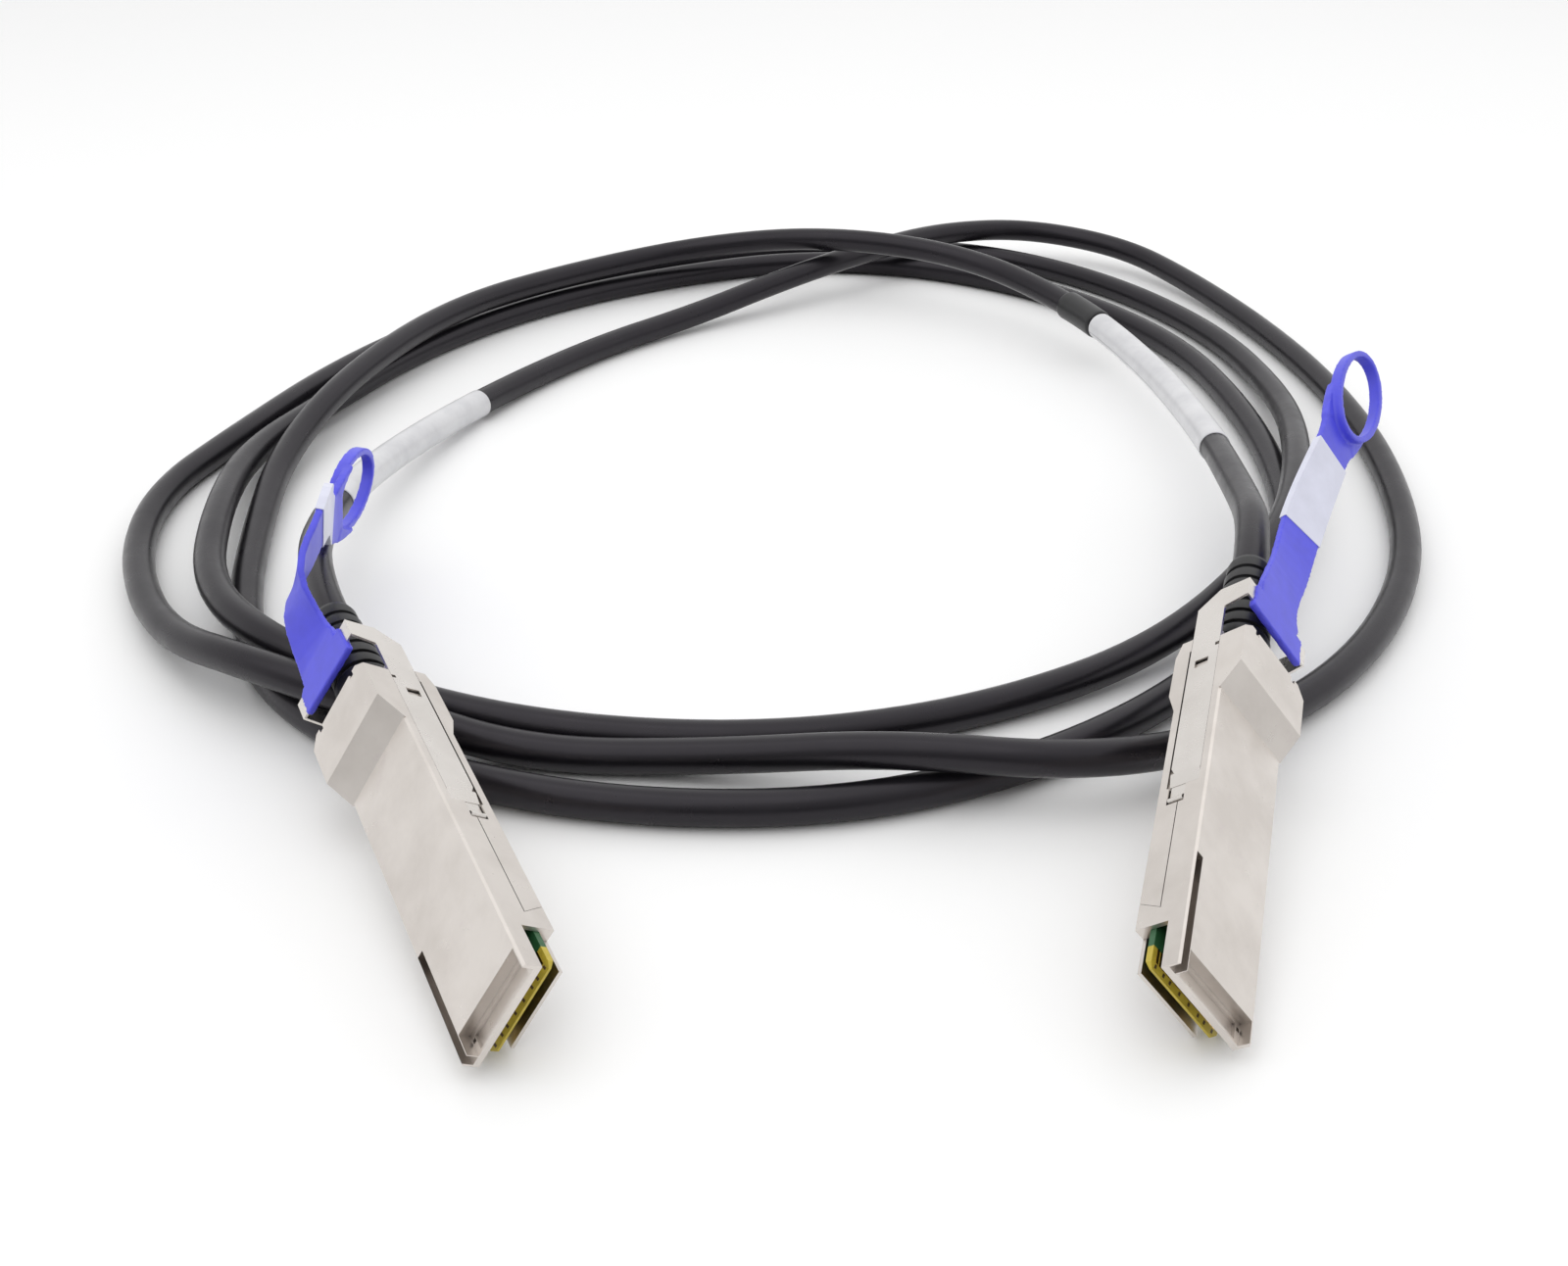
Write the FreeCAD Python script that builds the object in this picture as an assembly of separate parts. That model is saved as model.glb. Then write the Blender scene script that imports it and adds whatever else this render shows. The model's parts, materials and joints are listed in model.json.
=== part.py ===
import FreeCAD, Part
import math
import os

# Direct attach copper cable: two four-lane pluggable connectors joined by a
# loosely coiled round cable, each with a sliding latch and a soft pull tab.
#
# Each connector is built in its own frame: x across, y from the nose back to
# the cable, z up, with the flat top face at z = 0 and the nose front at y = 0.
# The table is at z = 0 of the finished part.

# ---- Driving dimensions, in millimetres ----

shell_width = 18.35
shell_length = 75.1
shell_thickness = 8.5
side_wall = 1.15
top_wall = 1.4
floor_wall = 1.0
edge_break = 0.35

nose_plate = 3.0            # solid plate over the contacts
nose_pocket_depth = 1.9
nose_pocket_length = 3.9
key_slot_width = 1.45
key_slot_length = 21.55
key_slot_wall = 0.32        # thin wall outside the slot, and the rib inside it
nose_open_length = 8.7      # how far back the nose is open at the sides
seam_top = 11.9             # the slanted seam between the two shells
seam_bottom = 13.8
front_parting = -4.7
parting_step_offset = 2.8   # where the parting steps up, behind the latch's front
parting_step_slope = 0.5    # length of that step's slope
lip_front = 2.3
lip_half_width = 7.1
lip_thickness = 0.6

block_length = 16.25        # raised block at the cable end, with its ramp
block_flat = 11.2
block_rise = 3.34
block_width = 18.5
block_corner = 2.0
belly_length = 18.1         # swelling of the lower shell under the cable clamp
belly_flat_front = 13.6     # both measured forward from the cable end
belly_flat_back = 3.6
belly_drop = 1.5
belly_back_drop = 0.5
back_wall = 2.6

card_width = 16.8
card_thickness = 1.0
card_top = -5.4
card_front = 1.9
card_back = 33.0
card_clearance = 0.05
card_corner = 0.8
card_bevel_length = 1.1       # sloped leading edge, above and below
card_bevel_depth = 0.3
pads_per_side = 19
pad_pitch = 0.8
pad_width = 0.55
pad_length = 2.6
pad_thickness = 0.04
pad_start = 1.2             # from the card's front edge
chip_size = 4.0
chip_height = 0.9
chip_place = 22.0
solder_overlap = 3.0        # the solder block holds this much of the card
solder_reach = 11.0         # and covers the joints for this far behind it

cable_diameter = 6.6
cable_height = -4.25        # the cable's axis in the connector
conductor_diameter = 1.5
conductor_pitch = 1.6
ferrule_wall = 0.7
ferrule_length = 8.4
clamp_rib_inset = 3.0       # from the ferrule's front end
clamp_rib_width = 2.0

boot_flange_radius = 4.7
boot_flange_width = 1.9
boot_neck_radius = 4.0
boot_gap = 0.1
boot_neck_length = 1.3      # of the neck that shows behind the shell
boot_length = 29.9          # behind the shell
boot_ribs = 8
boot_rib_radius = 5.4
boot_groove_depth = 0.75
boot_rib_share = 0.6        # of each pitch, the rest is groove
boot_tip_radius = 4.1
boot_tip_chamfer = 0.4

latch_sheet = 0.4
latch_gap = 0.05
latch_front = 34.2
latch_wide_front = 40.5     # the wide side plate starts here
latch_joggle = 2.2
plate_corner = 1.6            # cut off the plate's lower front corner
latch_inset = 0.4
latch_top = -1.55
latch_bottom = -6.95
tongue_top = -4.0
tongue_bottom = -6.6
latch_travel = 2.3
bridge_offset = 7.4         # the bridge behind the shell
bridge_length = 8.0
bridge_top = 2.9
bridge_edge = 1.7           # height of the arms' ends at the bridge
arm_rise = 0.9              # where the arms start to climb to the bridge
notch_offset = 2.4          # small notch in the top edge, behind the lug
notch_width = 0.8
notch_depth = 0.75
lug_offset = 6.5            # inward lug that the return spring pushes on
lug_reach = 1.9
lug_top = -3.3
lug_bottom = -5.8

screw_from_back = 11.1
screw_offset = 6.1
screw_radius = 0.8
screw_head_radius = 1.45
screw_head_height = 1.0
screw_boss_radius = 1.9
screw_engagement = 3.6
screw_slot_length = 2.2
screw_slot_width = 0.4
screw_slot_depth = 0.5

seam_groove_width = 0.14    # fine groove along the seam on each side
seam_groove_depth = 0.2
core_hole = 0.7             # small square holes left by the mould's core pins
back_notch_place = 5.6      # two notches in the rear edge of the raised block
back_notch_width = 1.0
back_notch_length = 1.0

tab_thickness = 1.3
tab_width = 9.3
tab_base_width = 15.0
tab_base_length = 6.0
tab_base_lead = 1.5         # of the base, in front of the bridge
tab_base_thickness = 2.0
tab_flare_length = 12.6     # the base narrows to the strip over this length
loop_length = 27.0
loop_width = 15.2
loop_band = 1.4
loop_depth = 2.4
shoulder_length = 6.5       # the strip widens to the loop over this length
shoulder_width = 12.4
left_film_start = 36.0      # of the label film, from the base's front end
left_film_length = 22.0
right_film_start = 33.6
right_film_length = 23.8
tab_label_film = 0.15

cable_label_film = 0.25
shrink_wall = 0.6

# The points that a pull tab bends through: across its connector, behind the
# shell and above the top face, then the roll of the strip in degrees.
left_tab_line = [
    (4.9, 24.9, 6.5, 19.0),
    (11.7, 32.9, 4.8, 18.9),
    (15.1, 41.5, 1.5, 22.6),
    (10.8, 49.8, -3.1, 27.3),
    (7.7, 59.2, -8.8, 24.1),
]
right_tab_line = [
    (1.8, 27.0, 2.8, 5.3),
    (2.3, 37.7, 3.8, 10.1),
    (2.1, 48.2, 5.9, 7.9),
    (2.2, 58.7, 8.3, 2.3),
    (2.6, 69.3, 10.3, -2.8),
]

# Where each connector lies: its nose, then its yaw, pitch and roll in degrees.
left_place = ((-55.82, -79.21, 11.44), (26.2, 5.3, -57.6))
right_place = ((42.98, -76.21, 10.92), (-16.8, 9.2, 51.8))

# The cable's route over the table. Its first and last points are the boots'
# tips, and it leaves each boot straight for this far.
straight_exit = 15.0
route_between = [
    (-112, 56, 17), (-113, 93, 11), (-106, 131, 6), (-91, 168, 3.5), (-69, 201, 3.3),
    (-43, 226, 4), (-16, 244, 9.5), (10, 265, 11.7), (35, 286, 11.5), (64, 297, 9.5),
    (94, 285, 7), (110, 258, 4.5), (123, 218, 3.3), (130, 173, 3.3), (130, 124, 3.3),
    (120, 71, 3.3), (96, 28, 3.3), (64, -1, 4.5), (34, -18, 10.8), (2, -13, 10.6),
    (-29, -7, 4.5), (-61, -5, 3.3), (-86, 1, 8.3), (-113, 11, 12.4), (-139, 34, 5.5),
    (-157, 70, 3.3), (-162, 103, 3.3), (-154, 133, 3.3), (-139, 181, 3.3),
    (-116, 222, 3.3), (-85, 257, 3.3), (-45, 284, 3.3), (4, 297, 3.3), (50, 290, 3.3),
    (86, 258, 3.3), (109, 211, 3.3), (114, 158, 5), (104, 108, 10.8), (89, 66, 11),
    (59, 32, 4.5), (22, 10, 3.3), (-16, 0, 3.3), (-54, 2, 3.3), (-86, 9, 6),
    (-113, 21, 11), (-133, 46, 9.5), (-141.5, 82, 9), (-146, 121, 5.5),
    (-137, 156, 3.3), (-118, 203, 3.3), (-89, 239, 3.3), (-54, 264, 3.3),
    (-12, 282, 3.3), (32, 275, 3.3), (70, 247, 3.3), (96, 203, 3.3), (103, 153, 3.3),
    (101, 105, 3.3), (91, 66, 3.3), (69, 27, 3.3), (36, -3, 3.3), (-2, -20, 3.3),
    (-44, -21, 3.3), (-82, -9, 3.3), (-112, 14, 3.3), (-127, 47, 3.3),
    (-134.5, 87, 3.3), (-137.5, 121, 5.5), (-130, 159, 10.6), (-112, 213, 10.6),
    (-80, 247, 10.4), (-40, 267, 13), (-2, 253, 19.8), (38, 240, 18), (66, 208, 13.5),
    (79, 163, 12.5), (82, 110, 16), (78, 64, 22.5),
]
cable_pieces = 5            # the cable is held as this many solids, end to end
left_label_start = 62.0     # measured along the cable from the left boot
left_label_length = 83.0
right_label_start = 75.0    # measured along the cable from the right boot
right_label_length = 95.0
shrink_gap = 0.5            # between the right label and the heat shrink
shrink_length = 16.5

# ---- Sizes that follow from them ----

half_width = shell_width / 2
half_block = block_width / 2
latch_outer = half_width - 0.025
latch_inner = latch_outer - latch_sheet
recess_inner = latch_inner - latch_gap
tongue_outer = latch_outer - latch_inset
tongue_inner = latch_inner - latch_inset
cavity_half = half_width - side_wall
narrow_half = cavity_half - 0.7
lip_top = -shell_thickness + lip_thickness
inner_floor = -shell_thickness + floor_wall
card_bottom = card_top - card_thickness
card_half = card_width / 2
cable_radius = cable_diameter / 2
conductor_radius = conductor_diameter / 2
ferrule_radius = cable_radius + ferrule_wall
block_start = shell_length - block_length
block_full = shell_length - block_flat
belly_start = shell_length - belly_length
belly_full = shell_length - belly_flat_front
belly_end = shell_length - belly_flat_back
belly_bottom = -shell_thickness - belly_drop
back_bottom = -shell_thickness - belly_back_drop
back_inner = shell_length - back_wall
flange_front = back_inner - boot_flange_width
ferrule_back = flange_front - 0.2
ferrule_front = ferrule_back - ferrule_length
screw_place = shell_length - screw_from_back
lug_place = shell_length - lug_offset
notch_front = lug_place + notch_offset
bridge_front = shell_length + bridge_offset
bridge_back = bridge_front + bridge_length
boot_rib_start = shell_length + boot_neck_length
boot_end = shell_length + boot_length
tab_base_front = bridge_front - tab_base_lead
bridge_middle = bridge_top - latch_sheet / 2
mid_parting = cable_height
parting_step = latch_front + parting_step_offset
solder_front = card_back - solder_overlap
solder_back = card_back + solder_reach
solder_half = narrow_half - 0.15
below_all = belly_bottom - 1
above_all = block_rise + 1


# ---- Small helpers ----

def block(x0, x1, y0, y1, z0, z1):
    corner = FreeCAD.Vector(x0, y0, z0)
    return Part.makeBox(x1 - x0, y1 - y0, z1 - z0, corner)


def prism_x(outline, x0, x1):
    """A side view of (y, z) points, extruded across the connector."""
    points = [FreeCAD.Vector(x0, y, z) for y, z in outline]
    face = Part.Face(Part.makePolygon(points + points[:1]))
    return face.extrude(FreeCAD.Vector(x1 - x0, 0, 0))


def prism_y(outline, y0, y1):
    """A cross-section of (x, z) points, extruded along the connector."""
    points = [FreeCAD.Vector(x, y0, z) for x, z in outline]
    face = Part.Face(Part.makePolygon(points + points[:1]))
    return face.extrude(FreeCAD.Vector(0, y1 - y0, 0))


def prism_z(outline, z0, z1):
    """A plan view of (x, y) points, extruded upwards."""
    points = [FreeCAD.Vector(x, y, z0) for x, y in outline]
    face = Part.Face(Part.makePolygon(points + points[:1]))
    return face.extrude(FreeCAD.Vector(0, 0, z1 - z0))


def rod_y(radius, y0, y1, x=0.0, z=cable_height):
    start = FreeCAD.Vector(x, y0, z)
    return Part.makeCylinder(radius, y1 - y0, start, FreeCAD.Vector(0, 1, 0))


def rod_z(radius, z0, z1, x, y):
    return Part.makeCylinder(radius, z1 - z0, FreeCAD.Vector(x, y, z0))


def turned_y(outline, z=cable_height):
    """A (radius, y) outline revolved about the cable's axis."""
    points = [FreeCAD.Vector(r, y, z) for r, y in outline]
    face = Part.Face(Part.makePolygon(points + points[:1]))
    return face.revolve(FreeCAD.Vector(0, 0, z), FreeCAD.Vector(0, 1, 0), 360)


def mirrored(shape):
    return shape.mirror(FreeCAD.Vector(0, 0, 0), FreeCAD.Vector(1, 0, 0))


def both_sides(shape):
    return [shape, mirrored(shape)]


# ---- Shells ----

def outer_body():
    """The whole outside of the closed connector, before it is hollowed."""
    side = [
        (0, 0), (block_start, 0), (block_full, block_rise), (shell_length, block_rise),
        (shell_length, back_bottom), (belly_end, belly_bottom), (belly_full, belly_bottom),
        (belly_start, -shell_thickness), (0, -shell_thickness),
    ]
    body = prism_x(side, -half_block, half_block)
    section = [
        (-half_width, below_all), (half_width, below_all), (half_width, -edge_break),
        (half_width - edge_break, 0), (edge_break - half_width, 0), (-half_width, -edge_break),
    ]
    front = prism_y(section, -1, block_start)
    section_back = [
        (-half_width, below_all), (half_width, below_all), (half_width, -edge_break),
        (half_block, 0), (half_block, above_all), (-half_block, above_all),
        (-half_block, 0), (-half_width, -edge_break),
    ]
    back = prism_y(section_back, block_start, shell_length + 1)
    corner = prism_z([
        (half_block - block_corner, shell_length), (half_block, shell_length - block_corner),
        (half_block + 1, shell_length - block_corner), (half_block + 1, shell_length + 1),
        (half_block - block_corner, shell_length + 1),
    ], latch_top, above_all)
    return body.common(front.fuse(back)).cut(corner).cut(mirrored(corner))


def seam_line():
    """The seam between the shells seen from the side, from the floor to the step."""
    return [
        (seam_bottom, -shell_thickness), (seam_top, front_parting),
        (parting_step - parting_step_slope, front_parting), (parting_step, mid_parting),
    ]


def lower_region():
    """What belongs to the lower shell: below the parting, behind the seam."""
    side = seam_line() + [
        (shell_length + 1, mid_parting), (shell_length + 1, below_all),
        (seam_bottom, below_all),
    ]
    region = prism_x(side, -half_block - 1, half_block + 1)
    floor = block(-lip_half_width, lip_half_width, lip_front, seam_bottom + 1,
                  below_all, lip_top)
    return region.fuse(floor)


def seam_groove():
    """A fine groove along one side's seam, in front of the latch."""
    upper = seam_line()[:3]
    lower = [(y + seam_groove_width, z - seam_groove_width) for y, z in reversed(upper)]
    lower[0] = (upper[-1][0], lower[0][1])
    return prism_x(upper + lower, half_width - seam_groove_depth, half_width + 1)


def mouth():
    """The open nose below its plate, with the lower shell's lip left standing."""
    opening = block(-half_width - 1, half_width + 1, -1, nose_open_length,
                    below_all, -nose_plate)
    lip = block(-lip_half_width, lip_half_width, lip_front, nose_open_length + 1,
                below_all, lip_top)
    return opening.cut(lip)


def cavity():
    """The space inside the shells for the card, the solder block and the cable end."""
    card_room = card_half + card_clearance
    solder_room = solder_back + 1
    spaces = [
        mouth(),
        block(-card_room, card_room, 0, card_back + card_clearance,
              card_bottom, -nose_plate),
        block(-lip_half_width, lip_half_width, 0, seam_bottom + 2, lip_top, card_bottom),
        block(-narrow_half, narrow_half, seam_bottom + 1, solder_room,
              inner_floor, card_bottom + 0.1),
        block(-narrow_half, narrow_half, card_back - 1, solder_room,
              inner_floor, -top_wall),
        block(-narrow_half, narrow_half, nose_open_length, card_back,
              -nose_plate - 0.1, -top_wall - 0.6),
        block(-cavity_half, cavity_half, solder_room - 1, back_inner,
              inner_floor, -top_wall),
        # Room inside the raised block and the belly.
        block(-narrow_half, narrow_half, block_full + 1, back_inner, -top_wall - 0.1,
              block_rise - top_wall),
        block(-narrow_half, narrow_half, belly_full + 1, belly_end - 0.2,
              belly_bottom + floor_wall, inner_floor + 0.1),
        # Round seats for the cable with its ferrule, and for the boot.
        rod_y(ferrule_radius + 0.1, ferrule_front - 0.2, flange_front),
        rod_y(boot_flange_radius + boot_gap, flange_front - boot_gap, back_inner),
        rod_y(boot_neck_radius + boot_gap, back_inner - 1, shell_length + 1),
    ]
    return spaces[0].multiFuse(spaces[1:])


def latch_room():
    """Recesses in one side for the latch plate, its tongue, hook and lug."""
    outside = half_width + 1
    recess = block(recess_inner, outside, latch_wide_front - latch_joggle - 0.8,
                   shell_length + 1, latch_bottom - latch_gap, latch_top + latch_gap)
    tongue = block(tongue_inner - latch_gap, outside, latch_front - 0.4,
                   latch_wide_front + latch_travel + 0.4,
                   tongue_bottom - 0.2, tongue_top + 0.2)
    lug = block(latch_inner - lug_reach - 0.2, outside, lug_place - 0.4,
                lug_place + latch_sheet + latch_travel + 0.3, lug_bottom - 0.2, lug_top + 0.2)
    return recess.multiFuse([tongue, lug])


def nose_details():
    """Cuts in the upper shell: front pocket, key slot, core holes, rear notches."""
    slot_outer = -half_width + key_slot_wall
    slot_inner = slot_outer + key_slot_width
    pocket_low = slot_inner + key_slot_wall * 0.4
    pocket_high = half_width - 0.6
    key_slot = block(slot_outer, slot_inner, -1, key_slot_length, -nose_pocket_depth, 1)
    pocket = block(pocket_low, pocket_high, -1, nose_pocket_length, -nose_pocket_depth, 1)
    hole_front = nose_pocket_length - 1.7
    holes = [block(x, x + core_hole, hole_front, hole_front + core_hole, -nose_plate - 0.1, 0)
             for x in (pocket_low + 0.1, pocket_high - 0.1 - core_hole)]
    notch = block(back_notch_place - back_notch_width / 2,
                  back_notch_place + back_notch_width / 2,
                  shell_length - back_notch_length, shell_length + 1,
                  block_rise - top_wall, above_all)
    return key_slot.multiFuse([pocket, notch, mirrored(notch)] + holes)


def clamp_rib(z0, z1):
    """A wall across the shell that is bored to grip the ferrule."""
    y0 = ferrule_front + clamp_rib_inset
    rib = block(-cavity_half, cavity_half, y0, y0 + clamp_rib_width, z0, z1)
    return rib.cut(rod_y(ferrule_radius, y0 - 1, y0 + clamp_rib_width + 1))


def screw_columns(radius, z0, z1):
    column = rod_z(radius, z0, z1, screw_offset, screw_place)
    return column.fuse(mirrored(column))


def make_shells():
    """Upper and lower shell, hollowed, ribbed and trimmed to the outside form."""
    body = outer_body()
    lower = lower_region()
    outside = body_outside(body)
    room = latch_room()
    seam = seam_groove()
    hollow = cavity()
    rooms = [room, mirrored(room), outside]
    ferrule_seat = rod_y(ferrule_radius, ferrule_front, ferrule_back)

    roof = block_rise - top_wall / 2
    shaped = body.cut(lower).cut(hollow)
    bosses = screw_columns(screw_boss_radius, mid_parting, roof)
    bosses = bosses.cut(ferrule_seat)
    rail_room = block(-card_half, card_half, seam_bottom + 1.5, solder_front - 0.5,
                      card_top, -nose_plate)
    rail_gap = block(-card_half + 1.2, card_half - 1.2, 0, card_back, card_top - 1, 0)
    rails = rail_room.cut(rail_gap)
    top = shaped.multiFuse([bosses, rails, clamp_rib(mid_parting, roof)])
    thread = screw_columns(screw_radius, mid_parting - 1, mid_parting + screw_engagement)
    top = top.cut(nose_details().multiFuse([thread] + rooms))

    shaped = body.common(lower).cut(hollow)
    bosses = screw_columns(screw_boss_radius, belly_bottom, mid_parting).cut(ferrule_seat)
    bottom = shaped.multiFuse([bosses, clamp_rib(belly_bottom + floor_wall / 2, mid_parting)])
    head_seat = belly_bottom + screw_head_height + 0.2
    heads = screw_columns(screw_head_radius + 0.1, below_all, head_seat)
    shanks = screw_columns(screw_radius + 0.1, belly_bottom, mid_parting + 1)
    bottom = bottom.cut(heads.multiFuse([shanks, seam, mirrored(seam)] + rooms))
    return top.removeSplitter(), bottom.removeSplitter()


def body_outside(body):
    """Everything just outside the connector, to trim ribs and bosses with."""
    around = block(-block_width, block_width, -2, shell_length + 2,
                   below_all - 1, above_all + 1)
    return around.cut(body)


# ---- Card, contacts and what joins it to the cable ----

def make_card():
    """The circuit card, its leading edge sloped above and below."""
    side = [
        (card_front, card_top - card_bevel_depth),
        (card_front + card_bevel_length, card_top), (card_back, card_top),
        (card_back, card_bottom), (card_front + card_bevel_length, card_bottom),
        (card_front, card_bottom + card_bevel_depth),
    ]
    plan = [
        (-card_half + card_corner, card_front), (card_half - card_corner, card_front),
        (card_half, card_front + card_corner), (card_half, card_back),
        (-card_half, card_back), (-card_half, card_front + card_corner),
    ]
    return prism_x(side, -card_half, card_half).common(prism_z(plan, card_bottom, card_top))


def make_pads(z0):
    """One row of edge contacts; the middle pad is on the centre line."""
    first = -(pads_per_side - 1) / 2 * pad_pitch
    y0 = card_front + pad_start
    pads = []
    for index in range(pads_per_side):
        x = first + index * pad_pitch
        pads.append(block(x - pad_width / 2, x + pad_width / 2, y0, y0 + pad_length,
                          z0, z0 + pad_thickness))
    return Part.makeCompound(pads)


def make_chip():
    half = chip_size / 2
    return block(-half, half, chip_place - half, chip_place + half,
                 card_top, card_top + chip_height)


def make_solder_block(card):
    potting = block(-solder_half, solder_half, solder_front, solder_back,
                    inner_floor + 0.3, -top_wall - 1.0)
    return potting.cut(card)


def make_leads():
    """Eight insulated conductors in two rows, from the solder block to the cable."""
    leads = []
    for row in (-0.5, 0.5):
        for place in (-1.5, -0.5, 0.5, 1.5):
            leads.append(rod_y(conductor_radius, solder_back, ferrule_front,
                               place * conductor_pitch, cable_height + row * conductor_pitch))
    return Part.makeCompound(leads)


def make_cable_end():
    return rod_y(cable_radius, ferrule_front, boot_end)


def make_ferrule():
    outer = rod_y(ferrule_radius, ferrule_front, ferrule_back)
    return outer.cut(rod_y(cable_radius, ferrule_front, ferrule_back))


def make_boot():
    """Moulded strain relief: a flange inside the shell, a neck and tapering ribs."""
    outline = [
        (cable_radius, flange_front), (boot_flange_radius, flange_front),
        (boot_flange_radius, back_inner), (boot_neck_radius, back_inner),
        (boot_neck_radius, boot_rib_start),
    ]
    pitch = (boot_end - boot_rib_start) / boot_ribs
    for index in range(boot_ribs):
        y = boot_rib_start + index * pitch
        taper = index / (boot_ribs - 1)
        radius = boot_rib_radius + (boot_tip_radius - boot_rib_radius) * taper
        outline += [(radius, y), (radius, y + pitch * boot_rib_share)]
        if index < boot_ribs - 1:
            outline.append((radius - boot_groove_depth, y + pitch))
        else:
            outline.append((radius - boot_tip_chamfer, boot_end))
    outline.append((cable_radius, boot_end))
    return turned_y(outline)


def make_screw():
    """A cross-slotted screw that holds the shells together from below."""
    head_low = belly_bottom + 0.2
    head = rod_z(screw_head_radius, head_low, head_low + screw_head_height,
                 screw_offset, screw_place)
    shank = rod_z(screw_radius, head_low, mid_parting + screw_engagement - 0.3,
                  screw_offset, screw_place)
    long_half = screw_slot_length / 2
    short_half = screw_slot_width / 2
    slots = [block(screw_offset - x, screw_offset + x, screw_place - y, screw_place + y,
                   head_low - 0.1, head_low + screw_slot_depth)
             for x, y in ((long_half, short_half), (short_half, long_half))]
    return head.fuse(shank).cut(slots[0].fuse(slots[1]))


# ---- Latch slide and pull tab ----

def latch_arm():
    """One folded side of the latch: hooked tongue, joggle, side plate and lug."""
    plate = prism_x([
        (latch_wide_front, latch_top), (bridge_front - arm_rise, latch_top),
        (bridge_front, bridge_top), (bridge_back, bridge_top),
        (bridge_back, bridge_top - bridge_edge), (bridge_front + arm_rise, latch_bottom),
        (latch_wide_front + plate_corner, latch_bottom),
        (latch_wide_front, latch_bottom + plate_corner / 2),
    ], latch_inner, latch_outer)
    joggle_front = latch_wide_front - latch_joggle
    joggle = prism_z([
        (latch_inner, latch_wide_front), (latch_outer, latch_wide_front),
        (tongue_outer, joggle_front), (tongue_inner, joggle_front),
    ], tongue_bottom, tongue_top)
    tongue = block(tongue_inner, tongue_outer, latch_front, joggle_front,
                   tongue_bottom, tongue_top)
    hook = prism_z([
        (tongue_outer, latch_front), (latch_outer + 0.2, latch_front + 0.3),
        (latch_outer + 0.2, latch_front + 0.7), (tongue_outer, latch_front + 1.6),
    ], tongue_bottom, tongue_top)
    lug = block(latch_inner - lug_reach, latch_outer, lug_place, lug_place + latch_sheet,
                lug_bottom, lug_top)
    window = block(latch_inner - 1, latch_outer + 1, lug_place - lug_reach, lug_place,
                   lug_bottom, lug_top)
    notch = block(latch_inner - 1, latch_outer + 1, notch_front, notch_front + notch_width,
                  latch_top - notch_depth, latch_top + 1)
    arm = plate.multiFuse([joggle, tongue, hook])
    return arm.cut(window).cut(notch).fuse(lug)


def make_latch():
    arm = latch_arm()
    bridge = block(-latch_outer, latch_outer, bridge_front, bridge_back,
                   bridge_top - latch_sheet, bridge_top)
    return bridge.multiFuse(both_sides(arm)).removeSplitter()


def tab_line_curve(line):
    """The tab's middle line, straight over the bridge and then through its points."""
    straight = [(0.0, y, bridge_middle) for y in (
        tab_base_front, (tab_base_front + bridge_back) / 2, bridge_back + 1)]
    bent = [(x, shell_length + behind, z) for x, behind, z, roll in line]
    curve = Part.BSplineCurve()
    curve.interpolate([FreeCAD.Vector(*point) for point in straight + bent])
    rolls = [0.0] * len(straight) + [roll for x, behind, z, roll in line]
    knots = [curve.parameter(FreeCAD.Vector(*point)) for point in straight + bent]
    return curve, knots, rolls


def tab_length(bend):
    """From the base's front end to the start of the finger loop."""
    return bend[0].length()


def tab_station(bend, distance):
    """Where the tab is at a distance from its front end: middle and three directions."""
    curve, knots, rolls = bend
    beyond = max(distance - tab_length(bend), 0.0)
    where = curve.parameterAtDistance(distance - beyond, curve.FirstParameter)
    along = FreeCAD.Vector(*curve.tangent(where)[0]).normalize()
    middle = curve.value(where) + along * beyond
    step = 0
    while step < len(knots) - 2 and where > knots[step + 1]:
        step += 1
    share = (where - knots[step]) / (knots[step + 1] - knots[step])
    roll = rolls[step] + (rolls[step + 1] - rolls[step]) * share
    across = FreeCAD.Vector(1, 0, 0)
    across = (across - along * across.dot(along)).normalize()
    across = FreeCAD.Rotation(along, -roll).multVec(across)
    return middle, along, across, across.cross(along)


def tab_size(distance, length):
    """Width and thickness of the tab at a distance from its front end."""
    flare = (distance - tab_base_length) / tab_flare_length
    shoulder = (distance - length + shoulder_length) / shoulder_length
    if flare <= 0:
        return tab_base_width, tab_base_thickness
    if flare < 1:
        turn = math.sqrt(1 - (1 - flare) ** 2)
        thickness = tab_base_thickness + (tab_thickness - tab_base_thickness) * flare
        return tab_base_width + (tab_width - tab_base_width) * turn, thickness
    if shoulder <= 0:
        return tab_width, tab_thickness
    grow = 1 - math.sqrt(1 - min(shoulder, 1.0) ** 2)
    return tab_width + (shoulder_width - tab_width) * grow, tab_thickness


def strip(bend, distances, extra=0.0):
    """A ruled ribbon along the tab's line, grown by a little all round if asked."""
    wires = []
    for distance in distances:
        middle, along, across, upward = tab_station(bend, distance)
        width, thickness = tab_size(distance, tab_length(bend))
        reach = across * (width / 2 + extra)
        rise = upward * (thickness / 2 + extra)
        corners = [middle - reach - rise, middle + reach - rise,
                   middle + reach + rise, middle - reach + rise]
        wires.append(Part.makePolygon(corners + corners[:1]))
    return Part.makeLoft(wires, True, True)


def oval(length, width, depth):
    """A flat elliptical plate in the x-y plane, centred on the origin."""
    ellipse = Part.Ellipse(FreeCAD.Vector(0, 0, 0), length / 2, width / 2)
    plate = Part.Face(Part.Wire([ellipse.toShape()])).extrude(FreeCAD.Vector(0, 0, depth))
    plate.translate(FreeCAD.Vector(0, 0, -depth / 2))
    return plate


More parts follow.
